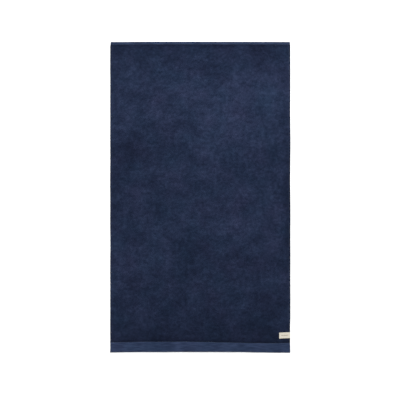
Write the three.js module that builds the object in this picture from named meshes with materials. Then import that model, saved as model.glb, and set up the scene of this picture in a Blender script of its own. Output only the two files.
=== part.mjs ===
// A quick-dry terry towel lying flat, face up. A woven ground cloth carries loop pile on both faces; all four
// edges are turned twice to the back and lockstitched, the near end as a wide flat-woven band. A folded
// woven label comes out from under the right hem, wraps the edge and lies on the face, free to flip outwards.
//
// Millimetres, +Z up. The origin is on the resting surface under the middle of the towel, +Y runs to the
// narrow top hem and +X to the edge that carries the label.
import * as THREE from "three";

// ---------- driving dimensions ----------
const towelWidth = 750;
const towelLength = 1300;

const pileHeight = 1.8; // loops on the face, and at least that on the back
const groundThickness = 1.0; // woven base between the two piles

const bandWidth = 40; // flat-woven hem at the near end
const topHemWidth = 12;
const sideHemWidth = 9.5;
const hemPly = 0.5; // flat-woven cloth, without pile
const plyGap = 0.12; // air between the turned plies
const bandTuck = 10; // raw end turned in, inside the band
const narrowTuck = 5.5; // raw end turned in, inside the other three hems

const threadWidth = 0.6;
const threadHeight = 0.35;
const seamInset = 2.0; // seam to the inner edge of an end hem
const sideSeamInset = 1.6; // the same on the side hems
const seamEndMargin = 4.0; // an end seam stops this far from the side edges
const furrowWidth = 2.4; // where a side seam pulls the pile down
const pileUnderSeam = 0.3; // pile left under the thread there
const pileShoulder = 1.4; // rounding of the pile along the side edges, where the pile is deep enough

const tackLength = 8; // short closing rows at the open ends of the end hems
const tackWidth = 1.2;
const tackEdgeMargin = 1.6; // tack to the side edge

const labelLength = 46; // what lies on the face, from the edge inwards
const labelWidth = 24.5;
const labelThickness = 0.5; // a ribbon folded double
const labelAboveBand = 31; // band's inner edge to the label's middle
const labelTailMargin = 0.5; // hem's inner edge to the label's cut ends, under it
const labelLift = 1.2; // how far the free end stands off the pile
const labelClearance = 0.2; // between the label and the cloth it wraps
const labelBend = 0.9; // outer radius where the label turns onto the face
const hingeGap = 0.2; // each side of the line that the label flips about

const seatGap = 0.1; // between pieces that lie on each other
const buttGap = 0.3; // between pieces that meet edge to edge

// ---------- levels and lines worked out from them ----------
const halfWidth = towelWidth / 2;
const halfLength = towelLength / 2;
const hemStack = 3 * hemPly + 2 * plyGap;

// The ground lies high enough for the back pile, and for the label and seam that the right hem carries below.
const underHem = labelThickness + threadHeight + 3 * seatGap;
const groundTop = Math.max(pileHeight + seatGap + groundThickness, hemStack + underHem);
const groundBottom = groundTop - groundThickness;
const backPileTop = groundBottom - seatGap;
const frontPileBottom = groundTop + seatGap;
const frontPileTop = frontPileBottom + pileHeight;
const hemBottom = groundTop - hemStack;
const furrowFloor = frontPileBottom + pileUnderSeam;

const bandInnerY = bandWidth - halfLength;
const topHemInnerY = halfLength - topHemWidth;
const sideHemInnerX = halfWidth - sideHemWidth;
const bandSeamY = bandInnerY - seamInset;
const topSeamY = topHemInnerY + seamInset;
const sideSeamX = sideHemInnerX + sideSeamInset;

const labelY = bandInnerY + labelAboveBand;
const labelInnerFaceX = halfWidth + labelClearance;
const labelBottomOnFace = frontPileTop + labelClearance;
const labelTopOnFace = labelBottomOnFace + labelThickness;
const labelTailTop = hemBottom - seatGap;
// Flipped by half a turn about this line, the label lies on the resting surface beside the towel.
const hingeX = labelInnerFaceX + labelThickness;
const hingeZ = (labelTopOnFace + labelLift + seatGap) / 2;

// ---------- materials ----------
const cloth = (color, roughness) => new THREE.MeshStandardMaterial({ color, roughness, metalness: 0 });
const navyTerry = cloth(0x252e44, 0.95);
const navyGround = cloth(0x1e2740, 0.9);
const blueBand = cloth(0x2f3b55, 0.8);
const navySelvedge = cloth(0x222b42, 0.85);
const navyThread = cloth(0x34405c, 0.6);
const creamLabel = cloth(0xded8ce, 0.7);

const towel = new THREE.Group();

function addNode(name, geometry, material) {
  const mesh = new THREE.Mesh(geometry, material);
  mesh.name = name;
  towel.add(mesh);
  return mesh;
}

// ---------- outlines swept straight along one axis ----------
const curveSteps = 8;

// An outline drawn in (x, z), swept from fromY to toY.
function sweepAlongY(outline, fromY, toY) {
  const geometry = new THREE.ExtrudeGeometry(outline, {
    depth: toY - fromY,
    bevelEnabled: false,
    curveSegments: curveSteps,
  });
  const upright = new THREE.Matrix4().set(1, 0, 0, 0, 0, 0, -1, toY, 0, 1, 0, 0, 0, 0, 0, 1);
  return geometry.applyMatrix4(upright);
}

// An outline drawn in (y, z), swept from fromX to toX.
function sweepAlongX(outline, fromX, toX) {
  const geometry = new THREE.ExtrudeGeometry(outline, {
    depth: toX - fromX,
    bevelEnabled: false,
    curveSegments: curveSteps,
  });
  const upright = new THREE.Matrix4().set(0, 0, 1, fromX, 1, 0, 0, 0, 0, 1, 0, 0, 0, 0, 0, 1);
  return geometry.applyMatrix4(upright);
}

function plate(fromX, toX, fromY, toY, fromZ, toZ) {
  const geometry = new THREE.BoxGeometry(toX - fromX, toY - fromY, toZ - fromZ);
  return geometry.translate((fromX + toX) / 2, (fromY + toY) / 2, (fromZ + toZ) / 2);
}

// ---------- terry field ----------
function frontPileOutline() {
  const edge = halfWidth - seatGap;
  const shoulder = Math.min(pileShoulder, pileHeight - pileUnderSeam);
  const shoulderZ = frontPileTop - shoulder;
  const shape = new THREE.Shape();
  shape.moveTo(-edge, frontPileBottom);
  shape.lineTo(edge, frontPileBottom);
  shape.lineTo(edge, shoulderZ);
  shape.absarc(edge - shoulder, shoulderZ, shoulder, 0, Math.PI / 2, false);
  for (const seamX of [sideSeamX, -sideSeamX]) {
    shape.lineTo(seamX + furrowWidth / 2, frontPileTop);
    shape.lineTo(seamX + furrowWidth / 2, furrowFloor);
    shape.lineTo(seamX - furrowWidth / 2, furrowFloor);
    shape.lineTo(seamX - furrowWidth / 2, frontPileTop);
  }
  shape.absarc(shoulder - edge, shoulderZ, shoulder, Math.PI / 2, Math.PI, false);
  shape.closePath();
  return shape;
}

function addTerryField() {
  addNode(
    "ground_cloth",
    plate(-sideHemInnerX, sideHemInnerX, bandInnerY, topHemInnerY, groundBottom, groundTop),
    navyGround,
  );
  const pileFromY = bandInnerY + buttGap;
  const pileToY = topHemInnerY - buttGap;
  addNode("front_pile", sweepAlongY(frontPileOutline(), pileFromY, pileToY), navyTerry);
  const backPileX = sideHemInnerX - buttGap;
  addNode("back_pile", plate(-backPileX, backPileX, pileFromY, pileToY, 0, backPileTop), navyTerry);
}

// ---------- hems ----------
// A strip turned twice: front ply out to the fold, back ply in again, raw end tucked between the two.
// place(u, v) puts u, the distance out from the hem's inner edge, and v, the height above its base.
function hemOutline(width, tuck, place, mirrored) {
  const foldRadius = hemStack / 2;
  const tuckRadius = hemPly + plyGap / 2;
  const foldU = width - foldRadius;
  const tuckEnd = tuckRadius + tuck;
  const points = [];
  const line = (u, v) => points.push(place(u, v));
  const arc = (u, v, radius, fromAngle, toAngle) => {
    for (let i = 0; i <= curveSteps; i++) {
      const angle = fromAngle + ((toAngle - fromAngle) * i) / curveSteps;
      points.push(place(u + radius * Math.cos(angle), v + radius * Math.sin(angle)));
    }
  };
  const quarter = Math.PI / 2;
  line(0, hemStack);
  arc(foldU, foldRadius, foldRadius, quarter, -quarter);
  arc(tuckRadius, tuckRadius, tuckRadius, -quarter, -3 * quarter);
  line(tuckEnd, 2 * hemPly + plyGap);
  line(tuckEnd, hemPly + plyGap);
  arc(tuckRadius, tuckRadius, plyGap / 2, quarter, 3 * quarter);
  arc(foldU, foldRadius, foldRadius - hemPly, -quarter, quarter);
  line(0, hemStack - hemPly);
  return new THREE.Shape(mirrored ? points.reverse() : points);
}

function addEndHem(name, width, tuck, innerY, outwards) {
  const place = (u, v) => new THREE.Vector2(innerY + outwards * (buttGap + u), hemBottom + v);
  const outline = hemOutline(width - buttGap, tuck, place, outwards < 0);
  return addNode(name, sweepAlongX(outline, -halfWidth, halfWidth), blueBand);
}

function addSideHem(name, outwards) {
  const place = (u, v) => new THREE.Vector2(outwards * (sideHemInnerX + buttGap + u), hemBottom + v);
  const outline = hemOutline(sideHemWidth - buttGap, narrowTuck, place, outwards < 0);
  return addNode(name, sweepAlongY(outline, bandInnerY, topHemInnerY), navySelvedge);
}

// ---------- seams ----------
// Section of a thread row lying on the level z = 0: flat below and rounded on top.
function threadOutline(middle, base, towards) {
  const half = threadWidth / 2;
  const chamfer = threadHeight / 2;
  const at = (across, height) => new THREE.Vector2(middle + across, base + towards * height);
  return new THREE.Shape([
    at(-half, 0),
    at(half, 0),
    at(half, threadHeight - chamfer),
    at(half - chamfer, threadHeight),
    at(chamfer - half, threadHeight),
    at(-half, threadHeight - chamfer),
  ]);
}

function addEndSeam(prefix, seamY) {
  const reach = halfWidth - seamEndMargin;
  const needle = threadOutline(seamY, groundTop + seatGap, 1);
  const bobbin = threadOutline(seamY, hemBottom - seatGap, -1);
  addNode(`${prefix}_needle_thread`, sweepAlongX(needle, -reach, reach), navyThread);
  addNode(`${prefix}_bobbin_thread`, sweepAlongX(bobbin, -reach, reach), navyThread);
}

function addSideNeedleThread(name, seamX) {
  const outline = threadOutline(seamX, furrowFloor + seatGap, 1);
  addNode(name, sweepAlongY(outline, bandInnerY + buttGap, topHemInnerY - buttGap), navyThread);
}

function addLeftBobbinThread() {
  const outline = threadOutline(-sideSeamX, hemBottom - seatGap, -1);
  const fromY = bandInnerY + buttGap;
  addNode("left_hem_bobbin_thread", sweepAlongY(outline, fromY, topHemInnerY - buttGap), navyThread);
}

// The right seam also catches the label's cut ends, so its back thread steps down over them.
function addRightBobbinThread() {
  const onHem = hemBottom - seatGap;
  const onLabel = labelTailTop - labelThickness - seatGap;
  const stepInner = labelWidth / 2 + seatGap;
  const stepOuter = stepInner + 2 * threadWidth;
  const upper = [
    [bandInnerY + buttGap, onHem],
    [labelY - stepOuter, onHem],
    [labelY - stepInner, onLabel],
    [labelY + stepInner, onLabel],
    [labelY + stepOuter, onHem],
    [topHemInnerY - buttGap, onHem],
  ];
  const lower = upper.map(([y, z]) => [y, z - threadHeight]);
  const points = [...lower, ...upper.reverse()].map(([y, z]) => new THREE.Vector2(y, z));
  const half = threadWidth / 2;
  const row = sweepAlongX(new THREE.Shape(points), sideSeamX - half, sideSeamX + half);
  addNode("right_hem_bobbin_thread", row, navyThread);
}

// Short rows that close the open ends of the two end hems, beside the side edges.
function addTacks() {
  const outerX = halfWidth - tackEdgeMargin;
  const base = groundTop + seatGap;
  for (const [end, seamY, outwards] of [
    ["top", topSeamY, 1],
    ["bottom", bandSeamY, -1],
  ]) {
    for (const [side, sign] of [
      ["left", -1],
      ["right", 1],
    ]) {
      const xs = [sign * outerX, sign * (outerX - tackWidth)].sort((a, b) => a - b);
      const ys = [seamY, seamY + outwards * tackLength].sort((a, b) => a - b);
      addNode(`${end}_${side}_tack`, plate(...xs, ...ys, base, base + threadHeight), navyThread);
    }
  }
}

// ---------- label ----------
// The fixed tail runs out from under the right hem and up past its fold, to just below the hinge line.
function labelTailOutline() {
  const inner = sideHemInnerX + labelTailMargin;
  const bottom = labelTailTop - labelThickness;
  const shape = new THREE.Shape();
  shape.moveTo(inner, labelTailTop);
  shape.lineTo(inner, bottom);
  shape.lineTo(hingeX - labelBend, bottom);
  shape.absarc(hingeX - labelBend, bottom + labelBend, labelBend, -Math.PI / 2, 0, false);
  shape.lineTo(hingeX, hingeZ - hingeGap);
  shape.lineTo(labelInnerFaceX, hingeZ - hingeGap);
  shape.lineTo(labelInnerFaceX, labelTailTop);
  shape.closePath();
  return shape;
}

// The flap rises from the hinge line, turns over the edge and leans back over the pile. Its far end is
// the ribbon's own fold.
function labelFlapOutline() {
  const foldX = halfWidth - labelLength;
  const foldRadius = labelThickness / 2;
  const foldZ = labelTopOnFace + labelLift - foldRadius;
  const shape = new THREE.Shape();
  shape.moveTo(labelInnerFaceX, hingeZ + hingeGap);
  shape.lineTo(hingeX, hingeZ + hingeGap);
  shape.lineTo(hingeX, labelTopOnFace - labelBend);
  shape.absarc(hingeX - labelBend, labelTopOnFace - labelBend, labelBend, 0, Math.PI / 2, false);
  shape.lineTo(foldX + foldRadius, foldZ + foldRadius);
  shape.absarc(foldX + foldRadius, foldZ, foldRadius, Math.PI / 2, 1.5 * Math.PI, false);
  shape.lineTo(labelInnerFaceX, labelBottomOnFace);
  shape.closePath();
  return shape;
}

function addLabel() {
  const fromY = labelY - labelWidth / 2;
  const toY = labelY + labelWidth / 2;
  addNode("label_tail", sweepAlongY(labelTailOutline(), fromY, toY), creamLabel);
  addNode("label_flap", sweepAlongY(labelFlapOutline(), fromY, toY), creamLabel);
}

addTerryField();
addEndHem("end_band", bandWidth, bandTuck, bandInnerY, -1);
addEndHem("top_hem", topHemWidth, narrowTuck, topHemInnerY, 1);
addSideHem("left_hem", -1);
addSideHem("right_hem", 1);
addEndSeam("end_band", bandSeamY);
addEndSeam("top_hem", topSeamY);
addSideNeedleThread("left_hem_needle_thread", -sideSeamX);
addSideNeedleThread("right_hem_needle_thread", sideSeamX);
addLeftBobbinThread();
addRightBobbinThread();
addTacks();
addLabel();

export default towel;
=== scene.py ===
import math

import bpy
import numpy as np
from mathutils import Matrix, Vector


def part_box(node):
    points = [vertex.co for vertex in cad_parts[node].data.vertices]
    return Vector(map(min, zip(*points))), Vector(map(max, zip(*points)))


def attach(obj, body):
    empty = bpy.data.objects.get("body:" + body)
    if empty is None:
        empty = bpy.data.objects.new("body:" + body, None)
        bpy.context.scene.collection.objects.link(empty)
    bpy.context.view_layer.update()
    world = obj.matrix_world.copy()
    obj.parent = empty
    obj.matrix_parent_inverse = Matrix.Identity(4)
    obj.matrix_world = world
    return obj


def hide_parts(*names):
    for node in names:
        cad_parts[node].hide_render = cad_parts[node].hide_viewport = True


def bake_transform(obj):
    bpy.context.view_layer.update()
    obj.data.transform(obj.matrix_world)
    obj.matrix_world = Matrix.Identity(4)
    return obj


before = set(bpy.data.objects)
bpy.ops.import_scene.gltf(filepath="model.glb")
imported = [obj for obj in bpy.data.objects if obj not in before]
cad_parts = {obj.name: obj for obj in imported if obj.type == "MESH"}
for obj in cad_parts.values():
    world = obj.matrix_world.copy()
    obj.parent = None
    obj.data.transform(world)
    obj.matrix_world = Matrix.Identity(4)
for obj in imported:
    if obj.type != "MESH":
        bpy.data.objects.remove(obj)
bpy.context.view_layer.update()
scene = bpy.context.scene
scene.view_settings.view_transform = "Standard"  # plain colours, no film curve
mm = 0.001


def middle(node):
    low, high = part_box(node)
    return (low + high) / 2


bandLow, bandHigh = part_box("end_band")
topHemLow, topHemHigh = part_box("top_hem")
leftHemLow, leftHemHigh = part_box("left_hem")
rightHemLow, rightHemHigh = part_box("right_hem")
frontPileLow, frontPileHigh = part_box("front_pile")
backPileLow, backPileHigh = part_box("back_pile")
groundLow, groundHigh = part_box("ground_cloth")
tailLow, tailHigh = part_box("label_tail")
flapLow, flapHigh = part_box("label_flap")
halfWidth, halfLength = bandHigh.x, topHemHigh.y
labelPlace = middle("label_flap")


# camera, floor and light
studio = {
    "lens": 85,  # mm, on a 36 mm sensor
    "shownWidth": 1.672,  # how much floor the frame takes in
    "aim": (-1.4 * mm, -12.5 * mm),  # middle of the frame, from the towel's middle
    "skyStrength": 0.55,
    "keyPlace": (1.2, 3.2, 3.2),
    "keySize": 1.4,
    "keyPower": 290,
    "fillPlace": (-1.8, -1.4, 2.6),
    "fillSize": 2.2,
    "fillPower": 36,
    "floorSize": 60,
    "floorShade": (0.93, 0.93, 0.93, 1),
    "floorRoughness": 0.9,
}


def buildCamera():
    data = bpy.data.cameras.new("camera")
    data.lens = studio["lens"]
    data.clip_end = 100
    camera = bpy.data.objects.new("camera", data)
    scene.collection.objects.link(camera)
    height = studio["shownWidth"] * data.lens / data.sensor_width
    camera.location = (*studio["aim"], height)  # straight down, the towel's length upright
    scene.camera = camera


def addLight(name, place, size, power):
    data = bpy.data.lights.new(name, "AREA")
    data.size = size
    data.energy = power
    light = bpy.data.objects.new(name, data)
    light.location = place
    aim = -light.location
    light.rotation_mode = "QUATERNION"
    light.rotation_quaternion = aim.to_track_quat("-Z", "Y")
    scene.collection.objects.link(light)


def buildStudio():
    world = bpy.data.worlds.new("sky")
    world.use_nodes = True
    sky = world.node_tree.nodes["Background"]
    sky.inputs["Color"].default_value = (1, 1, 1, 1)
    sky.inputs["Strength"].default_value = studio["skyStrength"]
    scene.world = world
    addLight("keyLight", studio["keyPlace"], studio["keySize"], studio["keyPower"])
    addLight("fillLight", studio["fillPlace"], studio["fillSize"], studio["fillPower"])
    bpy.ops.mesh.primitive_plane_add(size=studio["floorSize"])
    floor = bpy.context.object
    floor.name = "floor"
    paper = bpy.data.materials.new("floorPaper")
    paper.use_nodes = True
    shader = paper.node_tree.nodes["Principled BSDF"]
    shader.inputs["Base Color"].default_value = studio["floorShade"]
    shader.inputs["Roughness"].default_value = studio["floorRoughness"]
    floor.data.materials.append(paper)


buildCamera()
buildStudio()
print("camera, floor and light are up")


noise = {
    "slopes": 256,  # it repeats after this many hills
    "away": 300,  # hills between the table's corner and the towel's middle
    "gain": 1.5,
}


def softNoise(x, y, size, seed):
    # hills and hollows from about -1 to 1, one every size or so
    slopes, away = noise["slopes"], noise["away"]
    angles = np.random.default_rng(seed).uniform(0, 2 * np.pi, (slopes, slopes))
    u, v = x / size + away, y / size + away
    i, j = np.floor(u).astype(int), np.floor(v).astype(int)
    fu, fv = u - i, v - j

    def corner(di, dj):
        angle = angles[(i + di) % slopes, (j + dj) % slopes]
        return np.cos(angle) * (fu - di) + np.sin(angle) * (fv - dj)

    wu, wv = fu**3 * (fu * (fu * 6 - 15) + 10), fv**3 * (fv * (fv * 6 - 15) + 10)
    near = corner(0, 0) * (1 - wu) + corner(1, 0) * wu
    far = corner(0, 1) * (1 - wu) + corner(1, 1) * wu
    return noise["gain"] * (near * (1 - wv) + far * wv)


def ease(t):
    t = np.clip(t, 0, 1)
    return t * t * (3 - 2 * t)


def easeBetween(value, low, high):
    # 0 up to low, 1 from high on
    return ease((value - low) / (high - low))


def closeTo(distance, width):
    return np.exp(-((distance / width) ** 2))


def gridLines(low, high, cell, closer):
    # even lines from low to high, replaced by closer ones where the shape turns quickly
    lines = np.linspace(low, high, round((high - low) / cell) + 1)
    gap = np.abs(lines[:, None] - closer[None, :]).min(1)
    return np.unique(np.concatenate([lines[gap > cell * pile["leastGap"]], closer]))


lay = {
    "swell": 2.4 * mm,  # the highest the middle stands off the floor
    "swellSize": 0.20,
    "swellMean": 0.45,  # share of that height at a usual place
    "leftAtEdges": 0.25,  # share of that lift which the hems keep
    "rampIn": 0.11,  # how far in the lift is at its full
    "wander": 0.9 * mm,  # how far the side edges stray from straight
    "wanderSizes": (0.13, 0.15, 0.14, 0.20),  # at the left, right, top and bottom edge
    "endWander": 0.4,  # the ends stray this share of the wander
    "endBow": 0.9 * mm,  # the ends are bowed, their corners this much lower
    "topBow": 0.5,  # share of that at the top end
    "endsIn": 1.6 * mm,  # the swells draw the ends in
    "sidesOut": 1.1 * mm,  # and the sides ease out
    "cornerDrop": 1.8 * mm,  # the corner by the label is pulled a little longer
    "cornerFrom": (0.3, 0.6),  # where that begins, in half widths and half lengths from the middle
    "seamStray": 4.4 * mm,  # away from the label the band's seam was sewn this much further in
    "strayAcross": (-0.25, 0.55),  # all of it up to the first, none from the second, in half widths
    "strayLost": 0.3,  # share of it that is lost at the left edge
    "strayLostReach": 0.25,
    "strayAbove": (1.1, 3.3),  # the pile evens it out between these, in band widths from the end
    "labelCalm": (0.03, 0.09),  # within the first of these from the label the cloth lies flat and straight
    "seed": 23,
}


def swells(x, y):
    edge = np.minimum(halfWidth - np.abs(x), halfLength - np.abs(y))
    keep, usual = lay["leftAtEdges"], lay["swellMean"]
    share = keep + (1 - keep) * ease(edge / lay["rampIn"])
    hills = usual + (1 - usual) * softNoise(x, y, lay["swellSize"], lay["seed"])
    return lay["swell"] * share * np.clip(hills, 0, 1)


def edgeWander(x, y):
    # how far each edge strays, from about -1 to 1: left, right, top and bottom
    still = np.zeros_like(x)
    return [
        softNoise(along, still, size, lay["seed"] + 1 + k)
        for k, (along, size) in enumerate(zip((y, y, x, x), lay["wanderSizes"]))
    ]


def layDown(points):
    # every piece of the towel goes through this, so that they all lie on the floor together
    x, y, z = np.asarray(points, float).T
    across, along = x / halfWidth, y / halfLength
    calm = easeBetween(np.hypot(x - halfWidth, y - labelPlace.y), *lay["labelCalm"])
    left, right, top, bottom = edgeWander(x, y)
    sideways = lay["wander"] * ((1 - across) * left + (1 + across) * right) / 2
    sideways += lay["sidesOut"] * across
    bow = lay["endBow"] * (1 - 2 * across**2)
    endWander = lay["endWander"] * lay["wander"]
    endways = (1 + along) * (lay["topBow"] * bow + endWander * top) / 2
    endways += (1 - along) * (bow + endWander * bottom) / 2
    endways = calm * endways - lay["endsIn"] * along
    cornerX, cornerY = lay["cornerFrom"]
    corner = easeBetween(across, cornerX, 1) * easeBetween(-along, cornerY, 1)
    endways -= lay["cornerDrop"] * calm * corner
    stray = lay["seamStray"] * (1 - easeBetween(across, *lay["strayAcross"]))
    stray = stray * (1 - lay["strayLost"] * closeTo(across + 1, lay["strayLostReach"]))
    fromEnd = (y + halfLength) / (bandHigh.y + halfLength)  # 1 at the band's seam
    endways += stray * ease(fromEnd) * (1 - easeBetween(fromEnd, *lay["strayAbove"]))
    return np.stack([x + calm * sideways, y + endways, z + calm * swells(x, y)], 1)


def makeMesh(name, points, faces):
    mesh = bpy.data.meshes.new(name)
    mesh.from_pydata(points.tolist(), [], faces)
    mesh.shade_smooth()
    piece = bpy.data.objects.new(name, mesh)
    scene.collection.objects.link(piece)
    return piece


def turnedOver(faces):
    return [tuple(reversed(face)) for face in faces]


def rimOf(cols, rows):
    # the outer points of a grid, anticlockwise from its low corner
    near = list(range(cols))
    right = [j * cols + cols - 1 for j in range(1, rows)]
    far = [(rows - 1) * cols + i for i in reversed(range(cols - 1))]
    left = [j * cols for j in reversed(range(1, rows - 1))]
    return near + right + far + left


def pairsAround(points):
    return zip(points, points[1:] + points[:1])


def tubeFaces(count, around, start=0):
    # quads between `count` rings of `around` points, and a face on each end
    faces = []
    for ring in range(count - 1):
        low = start + ring * around
        for k in range(around):
            after = (k + 1) % around
            faces.append((low + k, low + after, low + around + after, low + around + k))
    last = start + (count - 1) * around
    faces.append(tuple(start + k for k in reversed(range(around))))
    faces.append(tuple(last + k for k in range(around)))
    return faces


def settle(piece, material, slot, *nodes):
    piece.data.materials.append(material)
    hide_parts(*nodes)
    return piece


strands = {  # what every cloth and thread has in common
    "specular": 0.07,
    "sheenRoughness": 0.55,
    "sheenTint": (0.75, 0.82, 1, 1),
}


def newMaterial(name, roughness, sheen):
    material = bpy.data.materials.new(name)
    material.use_nodes = True
    shader = material.node_tree.nodes["Principled BSDF"]
    shader.inputs["Roughness"].default_value = roughness
    shader.inputs["Specular IOR Level"].default_value = strands["specular"]
    shader.inputs["Sheen Weight"].default_value = sheen
    shader.inputs["Sheen Roughness"].default_value = strands["sheenRoughness"]
    shader.inputs["Sheen Tint"].default_value = strands["sheenTint"]
    return material, material.node_tree, shader


def addNode(tree, kind, feeds=None, **settings):
    node = tree.nodes.new(kind)
    for key, value in settings.items():
        setattr(node, key, value)
    for key, value in (feeds or {}).items():
        if isinstance(value, bpy.types.NodeSocket):
            tree.links.new(value, node.inputs[key])
        else:
            node.inputs[key].default_value = value
    return node


def maths(tree, operation, first, second=0.0, clamp=False):
    feeds = {0: first, 1: second}
    return addNode(tree, "ShaderNodeMath", feeds, operation=operation, use_clamp=clamp).outputs[0]


def ramp(tree, factor, stops):
    node = addNode(tree, "ShaderNodeValToRGB", {"Fac": factor})
    points = node.color_ramp.elements
    while len(points) < len(stops):
        points.new(0.5)
    for point, (place, colour) in zip(points, stops):
        point.position = place
        point.color = (*colour, 1)
    return node.outputs["Color"]


def addBump(tree, shader, height, distance, strength=1.0):
    feeds = {"Height": height, "Distance": distance, "Strength": strength}
    bump = addNode(tree, "ShaderNodeBump", feeds)
    tree.links.new(bump.outputs["Normal"], shader.inputs["Normal"])


dye = {  # the navy takes unevenly, a little greener here and more violet there
    "green": (0.86, 1.03, 1.0),
    "violet": (1.14, 0.97, 1.0),
    "patchScale": 9.0,
}


def dyed(tree, shader, place, colour, unevenness=1.0):
    feeds = {"Vector": place, "Scale": dye["patchScale"], "Detail": 2.5, "Roughness": 0.55}
    uneven = addNode(tree, "ShaderNodeTexNoise", feeds).outputs["Fac"]
    cast = ramp(tree, uneven, [(0.3, dye["green"]), (0.7, dye["violet"])])
    mix = addNode(tree, "ShaderNodeMix", data_type="RGBA", blend_type="MULTIPLY")
    mix.inputs["Factor"].default_value = unevenness
    tree.links.new(colour, mix.inputs["A"])
    tree.links.new(cast, mix.inputs["B"])
    tree.links.new(mix.outputs["Result"], shader.inputs["Base Color"])


terryFinish = {
    # darkest, plain and lightest tone; the ramp carries the pile's random tone and painted light and shade
    # alike
    "hollow": (0.0018, 0.0040, 0.0135),
    "body": (0.0084, 0.0142, 0.0354),
    "raised": (0.0242, 0.0350, 0.0755),
    "loopSize": 1.9 * mm,
    "loopStretch": 0.62,  # loops are longer than wide
    "loopRadius": 0.25,  # of the ring that a loop's yarn makes, in loops
    "yarnWidth": 0.24,  # in loops
    "curl": 1.6 * mm,  # how far the loops are pushed out of round
    "layers": [(0.0, 1.0), (1.1, 0.85), (2.3, 0.7)],  # loops lie over each other: their turn and height
    "plainLoop": 0.6,  # a loop this high has the plain shade
    "loopShade": 0.55,
    "fibreSize": 0.35 * mm,
    "fibreShade": 0.35,
    "fibreHeight": 0.5,  # against the loops
    "loopDepth": 0.8 * mm,
    "relief": 0.8,
}


def yarnLoops(tree, place, turn):
    # 1 along the yarn of each loop, falling to 0 in its heart and between loops
    finish = terryFinish
    feeds = {"Vector": place, "Rotation": (0, 0, turn), "Location": (turn, 0, 0)}
    feeds["Scale"] = (1, finish["loopStretch"], 1)
    turned = addNode(tree, "ShaderNodeMapping", feeds).outputs[0]
    feeds = {"Vector": turned, "Scale": 1 / finish["loopSize"], "Randomness": 0.9}
    cells = addNode(tree, "ShaderNodeTexVoronoi", feeds, voronoi_dimensions="2D")
    fromYarn = maths(tree, "SUBTRACT", cells.outputs["Distance"], finish["loopRadius"])
    fromYarn = maths(tree, "DIVIDE", maths(tree, "ABSOLUTE", fromYarn), finish["yarnWidth"])
    return maths(tree, "SUBTRACT", 1.0, fromYarn, clamp=True)


def terryPile():
    finish = terryFinish
    material, tree, shader = newMaterial("terryPile", roughness=1.0, sheen=0.05)
    place = addNode(tree, "ShaderNodeTexCoord").outputs["Object"]
    push = addNode(tree, "ShaderNodeTexNoise", {"Vector": place, "Scale": 1 / finish["loopSize"]})
    curl = {0: push.outputs["Color"], 1: (finish["curl"],) * 3, 2: place}
    curled = addNode(tree, "ShaderNodeVectorMath", curl, operation="MULTIPLY_ADD").outputs[0]
    loops = 0.0
    for turn, share in finish["layers"]:
        layer = maths(tree, "MULTIPLY", yarnLoops(tree, curled, turn), share)
        loops = maths(tree, "MAXIMUM", loops, layer)
    feeds = {"Vector": place, "Scale": 1 / finish["fibreSize"], "Detail": 2.0}
    fibre = addNode(tree, "ShaderNodeTexNoise", feeds).outputs["Fac"]
    # the pile's random tone with painted light and shade, stored on its points
    napAndShadeFactor = addNode(tree, "ShaderNodeAttribute", attribute_name="napAndShade").outputs["Fac"]
    # painted shade: the yarn of the loops lighter, the gaps between them darker
    loopPaintedShade = maths(tree, "SUBTRACT", loops, finish["plainLoop"])
    loopPaintedShade = maths(tree, "MULTIPLY", loopPaintedShade, finish["loopShade"])
    fibreTone = maths(tree, "MULTIPLY", maths(tree, "SUBTRACT", fibre, 0.5), finish["fibreShade"])
    shade = maths(tree, "ADD", napAndShadeFactor, maths(tree, "ADD", loopPaintedShade, fibreTone), clamp=True)
    stops = [(0, finish["hollow"]), (0.5, finish["body"]), (1, finish["raised"])]
    dyed(tree, shader, place, ramp(tree, shade, stops))
    height = maths(tree, "ADD", loops, maths(tree, "MULTIPLY", fibre, finish["fibreHeight"]))
    addBump(tree, shader, height, finish["loopDepth"], finish["relief"])
    return material


weaving = {
    "ribShare": 0.6,  # of the relief
    "crossShare": 0.4,
    "crossSize": 0.6,  # a crossing thread's, in ribs
    "waver": 0.6,
    "alongSlub": 26,  # thick places in the yarn, to a metre along the ribs
    "acrossSlub": 240,  # and across them
    "downSlub": 60,
    "cloudScale": 14.0,
    "ribPaintedShade": 0.3,
    "slubTone": 1.45,
    "cloudTone": 0.7,
    "darker": 0.755,
    "dyeUnevenness": 0.5,
    "roughness": 0.8,
    "sheen": 0.1,
    "depth": 0.16 * mm,
    "relief": 0.9,
}


def threadWave(tree, place, direction, size):
    scale = 2 * math.pi / (20 * size)  # to a metre, a wave turns by 20 radians times its scale
    feeds = {"Vector": place, "Scale": scale, "Distortion": weaving["waver"], "Detail": 1.0}
    return addNode(tree, "ShaderNodeTexWave", feeds, bands_direction=direction).outputs["Fac"]


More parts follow.
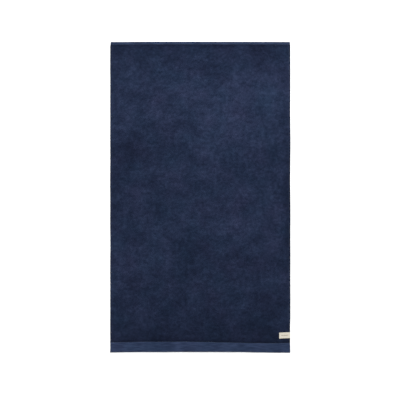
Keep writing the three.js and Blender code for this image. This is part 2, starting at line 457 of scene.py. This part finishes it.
def flatWeave(name, dark, light, ribSize, ribsAcross):
    # fine ribs one way, the crossing threads the other way, and slubs that run along the ribs
    material, tree, shader = newMaterial(name, weaving["roughness"], weaving["sheen"])
    place = addNode(tree, "ShaderNodeTexCoord").outputs["Object"]
    slubX, slubY, other = weaving["alongSlub"], weaving["acrossSlub"], "X"
    if ribsAcross == "X":
        slubX, slubY, other = slubY, slubX, "Y"
    ribs = threadWave(tree, place, ribsAcross, ribSize)
    crossing = threadWave(tree, place, other, ribSize * weaving["crossSize"])
    feeds = {"Vector": place, "Scale": (slubX, slubY, weaving["downSlub"])}
    slubPlace = addNode(tree, "ShaderNodeMapping", feeds).outputs[0]
    slubs = addNode(tree, "ShaderNodeTexNoise", {"Vector": slubPlace, "Scale": 1.0}).outputs["Fac"]
    feeds = {"Vector": place, "Scale": weaving["cloudScale"], "Detail": 2.0}
    clouds = addNode(tree, "ShaderNodeTexNoise", feeds).outputs["Fac"]
    ribs = maths(tree, "MULTIPLY", ribs, weaving["ribShare"])
    relief = maths(tree, "ADD", ribs, maths(tree, "MULTIPLY", crossing, weaving["crossShare"]))
    # painted shade: raised ribs and crossing threads lighter, the dips between them darker
    tone = maths(tree, "MULTIPLY", relief, weaving["ribPaintedShade"])
    tone = maths(tree, "ADD", tone, maths(tree, "MULTIPLY", slubs, weaving["slubTone"]))
    tone = maths(tree, "ADD", tone, maths(tree, "MULTIPLY", clouds, weaving["cloudTone"]))
    tone = maths(tree, "SUBTRACT", tone, weaving["darker"], clamp=True)
    colour = ramp(tree, tone, [(0.2, dark), (0.85, light)])
    dyed(tree, shader, place, colour, weaving["dyeUnevenness"])
    addBump(tree, shader, relief, weaving["depth"], weaving["relief"])
    return material


threadLook = {
    # the thread is lighter than the cloth, partly its own grey-blue and partly a painted highlight along
    # the seams
    "shadedGroove": (0.024, 0.034, 0.066),
    "litRidge": (0.055, 0.072, 0.122),
    "roughness": 0.55,
    "sheen": 0.2,
    "twistScale": 900.0,
    "depth": 0.08 * mm,
}


def sewingThread():
    # the twist shows as slanting ridges, with painted shade: the hollows of the twist darker, its crests
    # lighter
    look = threadLook
    material, tree, shader = newMaterial("sewingThread", look["roughness"], look["sheen"])
    place = addNode(tree, "ShaderNodeTexCoord").outputs["Object"]
    feeds = {"Vector": place, "Scale": look["twistScale"], "Distortion": 1.0}
    twist = addNode(tree, "ShaderNodeTexWave", feeds, bands_direction="DIAGONAL").outputs["Fac"]
    colour = ramp(tree, twist, [(0, look["shadedGroove"]), (1, look["litRidge"])])
    tree.links.new(colour, shader.inputs["Base Color"])
    addBump(tree, shader, twist, look["depth"])
    return material


labelFinish = {
    "cream": (0.42, 0.385, 0.315),
    "creamLight": (0.55, 0.515, 0.445),
    "motif": (0.115, 0.095, 0.065),
    "thread": 0.32 * mm,
    "depth": 0.06 * mm,
    "motifPitch": 4.2 * mm,  # the chain begins and ends on whole lozenges
    "motifHalf": 2.5 * mm,  # half the height of one lozenge's cell
    "motifFrom": 2,  # lozenges left out at the label's folded end
    "motifTo": 9,
    "lozenge": 0.46,  # from its heart to its tips, in cells
    "hollow": 0.16,  # the cream lozenge inside it
}


def lozengeChain(tree, along, across, foldAt, width):
    # 1 on the motif, which runs away from the fold on both halves of the ribbon
    finish = labelFinish
    fromFold = maths(tree, "ABSOLUTE", maths(tree, "SUBTRACT", along, foldAt))
    lozenges = maths(tree, "DIVIDE", fromFold, finish["motifPitch"])
    cell = maths(tree, "FRACT", lozenges)
    sideways = maths(tree, "ABSOLUTE", maths(tree, "SUBTRACT", cell, 0.5))
    upright = maths(tree, "ABSOLUTE", maths(tree, "SUBTRACT", across, width / 2))
    upright = maths(tree, "DIVIDE", upright, 2 * finish["motifHalf"])
    fromHeart = maths(tree, "ADD", sideways, upright)
    lozenge = maths(tree, "LESS_THAN", fromHeart, finish["lozenge"])
    hollow = maths(tree, "LESS_THAN", fromHeart, finish["hollow"])
    started = maths(tree, "GREATER_THAN", lozenges, finish["motifFrom"])
    ended = maths(tree, "LESS_THAN", lozenges, finish["motifTo"])
    shown = maths(tree, "MULTIPLY", started, ended)
    return maths(tree, "MULTIPLY", maths(tree, "SUBTRACT", lozenge, hollow), shown)


def labelRibbon(foldAt, width):
    # woven cream ribbon with a plain motif; the ribbon map runs in metres along and across it
    finish = labelFinish
    material, tree, shader = newMaterial("labelRibbon", roughness=0.6, sheen=0.15)
    ribbonMap = addNode(tree, "ShaderNodeUVMap", uv_map="ribbon").outputs[0]
    split = addNode(tree, "ShaderNodeSeparateXYZ", {0: ribbonMap})
    along, across = split.outputs["X"], split.outputs["Y"]
    warp, weft = [
        maths(tree, "SINE", maths(tree, "MULTIPLY", axis, 2 * math.pi / finish["thread"]))
        for axis in (along, across)
    ]
    weave = maths(tree, "MULTIPLY", maths(tree, "MULTIPLY", warp, weft), 0.5)
    weave = maths(tree, "ADD", weave, 0.5)
    # painted shade: raised thread crossings lighter, the dips between threads darker
    cloth = ramp(tree, weave, [(0, finish["cream"]), (1, finish["creamLight"])])
    mix = addNode(tree, "ShaderNodeMix", data_type="RGBA")
    tree.links.new(lozengeChain(tree, along, across, foldAt, width), mix.inputs["Factor"])
    tree.links.new(cloth, mix.inputs["A"])
    mix.inputs["B"].default_value = (*finish["motif"], 1)
    tree.links.new(mix.outputs["Result"], shader.inputs["Base Color"])
    addBump(tree, shader, weave, finish["depth"])
    return material


terry = terryPile()
# dark and light shade, size of a rib, and the axis along which the ribs follow each other
bandCloth = flatWeave("bandWeave", (0.0075, 0.0142, 0.0375), (0.0231, 0.0370, 0.0795), 1.3 * mm, "Y")
sideCloth = flatWeave("sideWeave", (0.0070, 0.0120, 0.0320), (0.0170, 0.0260, 0.0600), 0.9 * mm, "X")
groundCloth = flatWeave("groundWeave", (0.0080, 0.0130, 0.0330), (0.0190, 0.0280, 0.0600), 0.8 * mm, "Y")
threadFinish = sewingThread()
print("finishes are mixed")


cut = {
    # cloth turned under at each edge, over the towel's finished size
    "side": 15.5 * mm,
    "band": 50.8 * mm,
    "top": 18.3 * mm,
    "cell": 12 * mm,  # one square of its mesh
}


def buildGround():
    xs = np.linspace(groundLow.x, groundHigh.x, round((groundHigh.x - groundLow.x) / cut["cell"]) + 1)
    ys = np.linspace(groundLow.y, groundHigh.y, round((groundHigh.y - groundLow.y) / cut["cell"]) + 1)
    x, y = np.meshgrid(xs, ys)
    layers = [np.stack([x, y, np.full_like(x, z)], -1).reshape(-1, 3) for z in (groundLow.z, groundHigh.z)]
    cols, rows = len(xs), len(ys)
    size = cols * rows
    faces = []
    for j in range(rows - 1):
        for i in range(cols - 1):
            a = j * cols + i
            faces.append((a, a + cols, a + cols + 1, a + 1))
            faces.append((a + size, a + size + 1, a + size + cols + 1, a + size + cols))
    for a, b in pairsAround(rimOf(cols, rows)):
        faces.append((a, b, b + size, a + size))
    return makeMesh("groundSheet", layDown(np.concatenate(layers)), faces)


ground = settle(buildGround(), groundCloth, "ground_weave", "ground_cloth")
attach(ground, "towel")
print("ground cloth is laid")


pile = {
    "cell": 3.25 * mm,
    "backCell": 4.2 * mm,
    "rimSteps": np.array([0, 0.5, 1.2, 2.2]) * mm,  # closer lines in from the rim
    "seamSteps": np.array([-2.0, -1.0, 0, 1.0, 2.0]) * mm,  # and on both sides of a seam
    "leastGap": 0.6,  # between an even line and a closer one, in cells
    "underCell": 9,  # one coarse cell underneath for this many fine ones
    "tuft": 0.34 * mm,  # how much neighbouring tufts differ
    "clump": 0.36 * mm,
    "clumpSizes": [(8 * mm, 0.6), (20 * mm, 0.4)],  # each with its share
    "sunk": 0.3,  # share of those differences by which a usual tuft is lower
    "stray": 0.32,  # how far a tuft leans, in cells
    "shoulder": 2.2 * mm,
    "rimHeight": 0.3,  # share of the height that stands at the very rim
    "rimRelief": 0.3,  # and of the tufts' differences
    "ragged": 0.45 * mm,
    "furrow": 1.1 * mm,
    "furrowDepth": 0.72,
    "furrowEven": 0.7,  # share of the tufts' differences that a furrow takes
    "furrowUpright": 0.8,  # and of their lean
    "least": 0.25 * mm,
    "seed": 5,
    "backSeed": 55,
}

napAndShade = {
    # the shade varies in mottles of these sizes, each with its strength
    "mottles": [(0.16, 0.09), (0.08, 0.11), (0.04, 0.12), (0.02, 0.11), (0.010, 0.17)],
    "stretch": 0.75,  # wider than long
    "stroke": 0.007,  # how far the strokes of the hand that smoothed it wander
    "strokeSizes": (0.09, 0.07),
    "relief": 0.15,  # high tufts are lighter and low ones darker: painted shade
    "shelter": 10 * mm,  # loops this close to an end hem stand in its shade
    "shelterShade": 0.20,
    # lighter and darker areas, partly loops brushed up or down and partly painted light and shade: place,
    # reach and strength
    "napAndLightingPatches": [
        # darker towards the bottom end, partly brushed loops and partly painted shade
        ((0.00, -0.64), (0.60, 0.14), -0.28),
        ((0.17, -0.43), (0.17, 0.10), -0.09),
        ((0.00, -0.27), (0.18, 0.07), -0.08),
        ((-0.05, -0.10), (0.14, 0.04), -0.07),
        ((0.37, -0.22), (0.03, 0.07), -0.12),
        ((0.38, -0.04), (0.030, 0.24), -0.34),
        # painted shadow round the label
        ((0.335, -0.583), (0.040, 0.020), -0.10),
        ((0.35, 0.14), (0.05, 0.12), -0.08),
        ((-0.32, 0.16), (0.13, 0.16), -0.10),
        ((-0.12, 0.17), (0.12, 0.05), -0.07),
        # painted shade along the top end, under the hem
        ((0.00, 0.64), (0.60, 0.07), -0.14),
        # these two lighter across the upper middle, partly brushed loops and partly painted light
        ((0.04, 0.40), (0.50, 0.14), 0.05),
        ((0.12, 0.38), (0.22, 0.16), 0.08),
        ((0.03, 0.10), (0.09, 0.05), 0.05),
        ((0.03, 0.25), (0.07, 0.07), 0.10),
        ((0.12, 0.15), (0.06, 0.05), -0.06),
        ((0.18, 0.01), (0.08, 0.04), 0.07),
        ((0.31, -0.14), (0.05, 0.10), 0.07),
    ],
}


def napAndShadeTone(x, y, relief, rimY, seed, napAndLightingPatches):
    # 0.5 is the plain body shade; more is lighter. Random tone of the pile, with painted shade: low tufts
    # darker, painted light and shade in the listed areas, and painted shade along the end hems
    sizeX, sizeY = napAndShade["strokeSizes"]
    strokeX = x + napAndShade["stroke"] * softNoise(x, y, sizeX, seed + 50)
    strokeY = y + 0.5 * napAndShade["stroke"] * softNoise(x, y, sizeY, seed + 51)
    shade = 0.5 + napAndShade["relief"] * relief
    for k, (size, strength) in enumerate(napAndShade["mottles"]):
        shade += strength * softNoise(strokeX * napAndShade["stretch"], strokeY, size, seed + 30 + k)
    for (px, py), (reachX, reachY), strength in napAndLightingPatches:
        shade += strength * closeTo(np.hypot((x - px) / reachX, (y - py) / reachY), 1)
    return shade - napAndShade["shelterShade"] * closeTo(rimY, napAndShade["shelter"])


def overShoulder(rim):
    # a quarter round up from the rim
    return np.sqrt(1 - (1 - np.clip(rim / pile["shoulder"], 0, 1)) ** 2)


def coarsely(count):
    # which of so many grid lines the hidden side keeps
    return sorted({*range(0, count, pile["underCell"]), count - 1})


def undersideFaces(cols, rows, under):
    # the hidden side is coarse, but meets every point of the rim
    onRim = set(rimOf(cols, rows))
    coarseCols, coarseRows = coarsely(cols), coarsely(rows)
    faces = []
    for j0, j1 in zip(coarseRows, coarseRows[1:]):
        for i0, i1 in zip(coarseCols, coarseCols[1:]):
            loop = [j0 * cols + i for i in range(i0, i1)]
            loop += [j * cols + i1 for j in range(j0, j1)]
            loop += [j1 * cols + i for i in range(i1, i0, -1)]
            loop += [j * cols + i0 for j in range(j1, j0, -1)]
            corners = {j * cols + i for j in (j0, j1) for i in (i0, i1)}
            kept = [under[point] for point in loop if point in corners or point in onRim]
            faces.append(tuple(reversed(kept)))
    return faces


def pileHeight(relief, shoulder, furrow, full, outward):
    height = full * (pile["rimHeight"] + (1 - pile["rimHeight"]) * shoulder)
    height = height * (1 - pile["furrowDepth"] * furrow)
    uneven = (pile["tuft"] + pile["clump"]) * (relief - pile["sunk"])
    uneven = uneven * (pile["rimRelief"] + (1 - pile["rimRelief"]) * shoulder)
    height += uneven * (1 - pile["furrowEven"] * furrow)
    return np.clip(height, pile["least"], full if outward < 0 else None)  # the back stops at the floor


def pileLayer(name, low, high, base, outward, cell, seams, napAndLightingPatches, seed):
    # outward is 1 on the face and -1 on the back; base is the height of the ground cloth's side
    rimSteps = pile["rimSteps"]
    ends = [low.x + rimSteps, high.x - rimSteps] + [seam + pile["seamSteps"] for seam in seams]
    xs = gridLines(low.x, high.x, cell, np.concatenate(ends))
    ys = gridLines(low.y, high.y, cell, np.concatenate([low.y + rimSteps, high.y - rimSteps]))
    cols, rows = len(xs), len(ys)
    x, y = np.meshgrid(xs, ys)
    rimX, rimY = np.minimum(x - low.x, high.x - x), np.minimum(y - low.y, high.y - y)
    rng = np.random.default_rng(seed)
    tuft = rng.uniform(-1, 1, x.shape)
    clump = sum(
        share * softNoise(x, y, size, seed + 1 + k)
        for k, (size, share) in enumerate(pile["clumpSizes"])
    )
    relief = (pile["tuft"] * tuft + pile["clump"] * clump) / (pile["tuft"] + pile["clump"])
    shoulder = overShoulder(rimX) * overShoulder(rimY)
    furrow = sum((closeTo(x - seam, pile["furrow"]) for seam in seams), np.zeros_like(x))
    height = pileHeight(relief, shoulder, furrow, high.z - low.z, outward)

    stray = pile["stray"] * rng.uniform(-1, 1, (2, *x.shape))
    ragged = pile["ragged"] / pile["stray"]
    moveX = stray[0] * np.minimum(np.gradient(xs)[None, :], rimX + ragged)
    moveY = stray[1] * np.minimum(np.gradient(ys)[:, None], rimY + ragged)
    moveX = moveX * (1 - pile["furrowUpright"] * np.clip(furrow, 0, 1))
    top = np.stack([x + moveX, y + moveY, base + outward * height], -1).reshape(-1, 3)

    rim = rimOf(cols, rows)
    crossings = {j * cols + i for j in coarsely(rows) for i in coarsely(cols)}
    wanted = sorted(crossings | set(rim))
    under = {point: len(top) + k for k, point in enumerate(wanted)}
    bottom = np.stack([x, y, np.full_like(x, base)], -1).reshape(-1, 3)[wanted]

    faces = []
    for j in range(rows - 1):
        a = j * cols + np.arange(cols - 1)
        quads = np.stack([a, a + 1, a + cols + 1, a + cols], 1)
        faces += [tuple(quad) for quad in quads.tolist()]
    faces += undersideFaces(cols, rows, under)
    faces += [(b, a, under[a], under[b]) for a, b in pairsAround(rim)]
    if outward < 0:
        faces = turnedOver(faces)

    piece = makeMesh(name, layDown(np.concatenate([top, bottom])), faces)
    shade = napAndShadeTone(x, y, relief, rimY, seed, napAndLightingPatches).ravel()
    shade = np.concatenate([shade, shade[wanted]]).astype(np.float32)
    piece.data.attributes.new("napAndShade", "FLOAT", "POINT").data.foreach_set("value", shade)
    flatMap(piece, low, high, outward)
    return piece


flatSheet = {
    "marginX": 2 * mm,
    "marginY": 4 * mm,
    "loopsFrom": 0.06,  # the loops' side is above this, the hidden side in a strip below
    "loopsShare": 0.935,
    "hiddenShare": 0.055,
    "facing": 0.02,  # a face that looks this much outwards is on the loops' side
}


def flatMap(piece, low, high, outward):
    # one flat map for the finished colours
    mesh = piece.data
    layer = mesh.uv_layers.new(name="OFBake")
    corner = np.empty(len(mesh.loops), np.int32)
    mesh.loops.foreach_get("vertex_index", corner)
    places = np.empty(len(mesh.vertices) * 3, np.float32)
    mesh.vertices.foreach_get("co", places)
    places = places.reshape(-1, 3)[corner]
    sizes = np.array([face.loop_total for face in mesh.polygons])
    facing = np.array([face.normal.z for face in mesh.polygons])
    onLoops = np.repeat(facing * outward > flatSheet["facing"], sizes)
    marginX, marginY = flatSheet["marginX"], flatSheet["marginY"]
    u = (places[:, 0] - low.x + marginX) / (high.x - low.x + 2 * marginX)
    v = (places[:, 1] - low.y + marginY) / (high.y - low.y + 2 * marginY)
    loopsV = flatSheet["loopsFrom"] + flatSheet["loopsShare"] * v
    v = np.where(onLoops, loopsV, flatSheet["hiddenShare"] * v)
    layer.uv.foreach_set("vector", np.stack([u, v], 1).astype(np.float32).ravel())


seamsX = [middle("left_hem_needle_thread").x, middle("right_hem_needle_thread").x]
front = pileLayer(
    "frontPile", frontPileLow, frontPileHigh, frontPileLow.z, 1,
    pile["cell"], seamsX, napAndShade["napAndLightingPatches"], pile["seed"],
)
settle(front, terry, "terry_pile", "front_pile")
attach(front, "towel")
back = pileLayer(
    "backPile", backPileLow, backPileHigh, backPileHigh.z, -1,
    pile["backCell"], [], [], pile["backSeed"],
)
settle(back, terry, "terry_pile", "back_pile")
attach(back, "towel")
print("pile is up on both faces:", len(front.data.polygons), "and", len(back.data.polygons), "faces")


hem = {
    "ply": 0.5 * mm,
    "bandTuck": 10 * mm,
    "narrowTuck": 5.5 * mm,
    "arcSteps": 7,
    "acrossStep": 2.6 * mm,
    "station": 1.5 * mm,  # half a stitch
    "pucker": 0.36,  # how far the stitches press the plies together
    "puckerReach": 1.7 * mm,
    "ripple": 0.7 * mm,  # the band is longer than the pile beside it, and waves a little
    "rippleSize": 0.055,
    "rippleMost": (-0.9, 1.2),  # in ripples, down and up
    "topRipple": 0.25,  # the top hem's share of the waves
    "roping": 0.45 * mm,  # slanting folds that the seam draws into the band
    "ropingSize": 0.021,
    "ropingSlant": 0.9,
    "ropingStretch": 0.35,
    "fray": 0.25 * mm,
    "fraySize": 6 * mm,
    "topInset": 1.3 * mm,  # the top hem's ends are drawn in at the corners
    "seed": 71,
}


def hemProfile(width, stack, tuck):
    # a strip turned twice: front ply, fold, back ply, and the raw end tucked between
    ply = hem["ply"]
    gap = (stack - 3 * ply) / 2
    fold, turn = stack / 2, ply + gap / 2
    foldU, tuckEnd = width - fold, turn + tuck
    points = []

    def arc(u, v, radius, fromAngle, toAngle):
        for angle in np.linspace(fromAngle, toAngle, hem["arcSteps"]):
            points.append((u + radius * math.cos(angle), v + radius * math.sin(angle)))

    quarter = math.pi / 2
    points.append((0, stack))
    arc(foldU, fold, fold, quarter, -quarter)
    arc(turn, turn, turn, -quarter, -3 * quarter)
    points.append((tuckEnd, 2 * ply + gap))
    points.append((tuckEnd, ply + gap))
    arc(turn, turn, gap / 2, quarter, 3 * quarter)
    arc(foldU, fold, fold - ply, -quarter, quarter)
    points.append((0, stack - ply))
    finer = []
    for (u0, v0), (u1, v1) in pairsAround(points):
        parts = max(1, round(math.hypot(u1 - u0, v1 - v0) / hem["acrossStep"]))
        finer += [(u0 + (u1 - u0) * k / parts, v0 + (v1 - v0) * k / parts) for k in range(parts)]
    return np.array(finer)


def hemWaves(s, u, width):
    # how far a rippled hem stands up, s along it and u out from the pile
    seed, size = hem["seed"], hem["rippleSize"]
    flutter = softNoise(s, u, size, seed) + 0.5 * softNoise(s, u, size / 3, seed + 1)
    rise = hem["ripple"] * np.clip(flutter, *hem["rippleMost"]) * (u / width) ** 1.5
    slanted = s + hem["ropingSlant"] * u  # the roping fades in the outer thirds of the hem
    slanting = softNoise(slanted, hem["ropingStretch"] * u, hem["ropingSize"], seed + 3)
    return rise + hem["roping"] * slanting * ease(3 * u / width) * ease(3 - 3 * u / width)


def buildHem(name, low, high, tuck, runs, outwards, seamAt, waves, inset=0.0):
    # runs is the axis the hem follows; outwards is 1 or -1 on the other one, where seamAt is too;
    # waves is the share of the ripple and roping that it has
    other = 1 - runs
    start, end = low[runs] + inset, high[runs] - inset
    inner = low[other] if outwards > 0 else high[other]
    width, stack = high[other] - low[other], high.z - low.z
    profile = hemProfile(width, stack, tuck)
    stations = np.linspace(start, end, round((end - start) / hem["station"]) + 1)
    s, u = np.meshgrid(stations, profile[:, 0], indexing="ij")
    v = np.broadcast_to(profile[:, 1], u.shape)
    stitch = 0.75 + 0.25 * np.cos(np.pi * s / hem["station"])  # most once in a stitch, half as much between
    press = hem["pucker"] * stitch * closeTo(u - abs(seamAt - inner), hem["puckerReach"])
    v = stack / 2 + (v - stack / 2) * (1 - press)
    fray = hem["fray"] * softNoise(s, u * 0, hem["fraySize"], hem["seed"] + 2) * (u / width) ** 4
    flat = inner + outwards * (u + fray)
    across, along = (flat, s) if runs == 1 else (s, flat)
    rise = waves * hemWaves(s, u, width)
    points = np.stack([across, along, low.z + v + rise], -1).reshape(-1, 3)
    faces = tubeFaces(len(stations), len(profile))
    if (outwards > 0) != (runs == 1):
        faces = turnedOver(faces)
    return makeMesh(name, layDown(points), faces)


bandSeam, topSeam = [middle(f"{node}_needle_thread").y for node in ("end_band", "top_hem")]
narrow = hem["narrowTuck"]
endBand = buildHem("endBand", bandLow, bandHigh, hem["bandTuck"], 0, -1, bandSeam, 1)
topHem = buildHem(
    "topHem", topHemLow, topHemHigh, narrow, 0, 1, topSeam, hem["topRipple"], hem["topInset"]
)
leftHem = buildHem("leftHem", leftHemLow, leftHemHigh, narrow, 1, -1, seamsX[0], 0)
rightHem = buildHem("rightHem", rightHemLow, rightHemHigh, narrow, 1, 1, seamsX[1], 0)
hems = [
    settle(endBand, bandCloth, "band_weave", "end_band"),
    settle(topHem, bandCloth, "band_weave", "top_hem"),
    settle(leftHem, sideCloth, "side_weave", "left_hem"),
    settle(rightHem, sideCloth, "side_weave", "right_hem"),
]
for piece in hems:
    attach(piece, "towel")
print("hems are turned")


thread = {
    "stitch": 3.0 * mm,
    "radius": 0.26 * mm,
    "endRadius": 0.5,  # of a strand's ends, against its middle
    "filled": (0.03, 0.97),  # the part of its stitch that a strand takes up
    "bluntness": 0.55,  # lower is blunter
    "dive": 0.5 * mm,  # how deep a stitch's ends go into the cloth
    "proud": 0.7,  # how far its middle stands up from it, in radii
    "riseDiffers": 0.08,
    "slant": 0.22 * mm,
    "slantDiffers": 0.4,
    "pucker": 0.15 * mm,  # what the stitches press into each face of a hem
    "sides": 6,
    "rings": 7,
    "tackPitch": 0.5 * mm,
    "tackLean": 0.3,  # in pitches
    "seed": 41,
}


def stitches(name, starts, ends, levels, up, node):
    # one short closed strand per stitch, high in the middle and sunk at both ends
    count, rings, sides = len(starts), thread["rings"], thread["sides"]
    rng = np.random.default_rng(thread["seed"])
    run = ends - starts
    length = np.linalg.norm(run, axis=1, keepdims=True)
    forward = run / length
    beside = np.stack([-forward[:, 1], forward[:, 0]], 1)
    t = np.linspace(*thread["filled"], rings)
    swell = np.sin(np.pi * t) ** thread["bluntness"]
    fat = thread["radius"] * (thread["endRadius"] + (1 - thread["endRadius"]) * swell)
    rise = (thread["dive"] + thread["proud"] * thread["radius"]) * swell - thread["dive"]
    riseDiffers, slantDiffers = thread["riseDiffers"], thread["slantDiffers"]
    rise = rise[None, :] * (1 + rng.uniform(-riseDiffers, riseDiffers, (count, 1)))
    slant = thread["slant"] * (t - 0.5)[None, :]
    slant = slant * (1 + rng.uniform(-slantDiffers, slantDiffers, (count, 1)))
    turn = np.linspace(0, 2 * np.pi, sides, endpoint=False)
    out, high = fat[:, None] * np.cos(turn), fat[:, None] * np.sin(turn)
    onward = (t[None, :, None] * length[:, :, None])[..., None]
    flat = starts[:, None, None, :] + forward[:, None, None, :] * onward
    flat = flat + beside[:, None, None, :] * (slant[:, :, None] + out[None])[..., None]
    z = np.broadcast_to(levels, count)[:, None, None] + up * rise[:, :, None] + high[None]
    points = np.concatenate([flat, z[..., None]], -1).reshape(-1, 3)
    faces = []
    for k in range(count):
        faces += tubeFaces(rings, sides, k * rings * sides)
    piece = makeMesh(name, layDown(points), faces)
    settle(piece, threadFinish, "sewing_thread", node)
    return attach(piece, "towel")


def seam(name, node, level, up):
    # follows its CAD row from end to end; level is a height, or a function of the place along the row
    low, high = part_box(node)
    runs = 0 if high.x - low.x > high.y - low.y else 1
    count = round((high[runs] - low[runs]) / thread["stitch"])
    places = np.linspace(low[runs], high[runs], count + 1)
    line = np.full(count + 1, (low[1 - runs] + high[1 - runs]) / 2)
    route = np.stack([places, line] if runs == 0 else [line, places], 1)
    levels = level((places[1:] + places[:-1]) / 2) if callable(level) else level
    return stitches(name, route[:-1], route[1:], levels, up, node)


def tack(name, node):
    # a short row of stitches side by side, which closes the open end of a hem
    low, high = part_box(node)
    pitch = thread["tackPitch"]
    count = round((high.y - low.y) / pitch)
    ys = np.linspace(low.y, high.y, count)
    starts = np.stack([np.full(count, low.x), ys], 1)
    ends = np.stack([np.full(count, high.x), ys + thread["tackLean"] * pitch], 1)
    return stitches(name, starts, ends, bandHigh.z, 1, node)


def underRightHem(y):
    # the back thread steps down over the label's caught ends
    over = np.abs(y - labelPlace.y) < (tailHigh.y - tailLow.y) / 2 + 0.5 * thread["stitch"]
    return np.where(over, tailLow.z, rightHemLow.z)


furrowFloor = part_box("left_hem_needle_thread")[0].z
pucker = thread["pucker"]
threads = [
    seam("bandNeedleThread", "end_band_needle_thread", bandHigh.z - pucker, 1),
    seam("bandBobbinThread", "end_band_bobbin_thread", bandLow.z + pucker, -1),
    seam("topNeedleThread", "top_hem_needle_thread", topHemHigh.z - pucker, 1),
    seam("topBobbinThread", "top_hem_bobbin_thread", topHemLow.z + pucker, -1),
    seam("leftNeedleThread", "left_hem_needle_thread", furrowFloor, 1),
    seam("leftBobbinThread", "left_hem_bobbin_thread", leftHemLow.z + pucker, -1),
    seam("rightNeedleThread", "right_hem_needle_thread", furrowFloor, 1),
    seam("rightBobbinThread", "right_hem_bobbin_thread", underRightHem, -1),
]
threads += [
    tack(f"{end}{side.capitalize()}Tack", f"{end}_{side}_tack")
    for end in ("top", "bottom")
    for side in ("left", "right")
]
print("seams are sewn:", len(threads), "rows")


label = {
    "ply": 0.20 * mm,
    "plyGap": 0.06 * mm,
    "caught": 0.5 * mm,  # room for the doubled ribbon under the hem
    "overPile": 0.45 * mm,  # from the pile to the ribbon's middle
    "underTop": 0.3 * mm,  # its middle ends this far under the top of the room for the flap
    "edgeGap": 0.05 * mm,
    "bend": 0.75 * mm,  # radius of the doubled ribbon's middle at the edge
    "arcSteps": 9,
    "liftCurve": 1.6,  # above 1 the ribbon rises mostly near its free end
    "tilt": math.radians(2.0),
    "cup": 0.35 * mm,  # how far the long edges curl up at the free end
    "turnOver": 1 * mm,  # cupping and tilting begin this far below the label's middle
    "step": 0.9 * mm,
    "across": 28,
}


def labelRoute():
    # middle of the doubled ribbon in x and z, from its caught ends to just short of its fold
    bend = label["bend"]
    turnX = flapHigh.x - (flapHigh.x - halfWidth) / 4 - label["edgeGap"] - bend
    underZ = tailLow.z + label["caught"] / 2
    overZ = frontPileHigh.z + label["overPile"]
    liftTo = flapHigh.z - label["underTop"] - overZ
    foldX = flapLow.x + label["ply"] + label["plyGap"] / 2
    points = [(x, underZ) for x in np.arange(tailLow.x, turnX, label["step"])]
    for centreZ, fromAngle in ((underZ + bend, -math.pi / 2), (overZ - bend, 0)):
        for a in np.linspace(fromAngle, fromAngle + math.pi / 2, label["arcSteps"]):
            points.append((turnX + bend * math.cos(a), centreZ + bend * math.sin(a)))
    count = round((turnX - foldX) / label["step"])
    for t in np.linspace(0, 1, count + 1)[1:]:
        points.append((turnX + (foldX - turnX) * t, overZ + liftTo * t ** label["liftCurve"]))
    return np.array(points)


def besides(route):
    # sideways from the route, to the outside of the wrap
    ahead = np.gradient(route, axis=0)
    ahead /= np.linalg.norm(ahead, axis=1, keepdims=True)
    return np.stack([ahead[:, 1], -ahead[:, 0]], 1)


def ribbonLine():
    # middle of the single ribbon: out on the pile's side, round the fold and back on the outside;
    # and which of its points is at the fold
    route = labelRoute()
    apart = (label["ply"] + label["plyGap"]) / 2
    aside = besides(route)
    ahead = np.array([-aside[-1][1], aside[-1][0]])
    angles = np.linspace(0, math.pi, label["arcSteps"])[1:-1]
    fold = [route[-1] + apart * (math.sin(a) * ahead - math.cos(a) * aside[-1]) for a in angles]
    line = np.concatenate([route - aside * apart, fold, (route + aside * apart)[::-1]])
    return line, len(route) + len(fold) // 2


def ribbonFaces(rows, around):
    # a tube whose two ends, the ribbon's woven edges, are strips and not one face each
    faces = tubeFaces(rows, around)[:-2]
    last = (rows - 1) * around
    for k in range(around // 2 - 1):
        strip = (k, k + 1, around - 2 - k, around - 1 - k)
        faces.append(tuple(reversed(strip)))
        faces.append(tuple(last + point for point in strip))
    return faces


def buildLabel():
    line, foldPoint = ribbonLine()
    length = np.concatenate([[0], np.cumsum(np.linalg.norm(np.diff(line, axis=0), axis=1))])
    half = besides(line) * label["ply"] / 2
    outline = np.concatenate([line + half, (line - half)[::-1]])
    lengths = np.concatenate([length, length[::-1]])

    ys = np.linspace(flapLow.y, flapHigh.y, label["across"] + 1)
    y, x = np.meshgrid(ys, outline[:, 0], indexing="ij")
    z = np.broadcast_to(outline[:, 1], y.shape)
    onFace = easeBetween(z, labelPlace.z - label["turnOver"], labelPlace.z)
    free = np.clip((halfWidth - x) / (halfWidth - flapLow.x), 0, 1) * onFace
    sidewise = (ys - labelPlace.y) / (flapHigh.y - flapLow.y) * 2
    z = z - label["cup"] * free * (1 - sidewise[:, None] ** 2)
    y = y - math.tan(label["tilt"]) * onFace * (labelPlace.x - x)
    points = np.stack([x, y, z], -1).reshape(-1, 3)
    around = len(outline)
    piece = makeMesh("edgeLabel", layDown(points), turnedOver(ribbonFaces(len(ys), around)))

    layer = piece.data.uv_layers.new(name="ribbon")
    corner = np.empty(len(piece.data.loops), np.int32)
    piece.data.loops.foreach_get("vertex_index", corner)
    uv = np.stack([lengths[corner % around], (ys - ys[0])[corner // around]], 1)
    layer.uv.foreach_set("vector", uv.astype(np.float32).ravel())
    return piece, length[-1], length[foldPoint]


edgeLabel, ribbonLength, foldAt = buildLabel()
labelWidth = flapHigh.y - flapLow.y
settle(edgeLabel, labelRibbon(foldAt, labelWidth), "label_ribbon", "label_flap", "label_tail")
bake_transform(edgeLabel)
print("label is folded and caught in the hem")


print("towel is laid out")
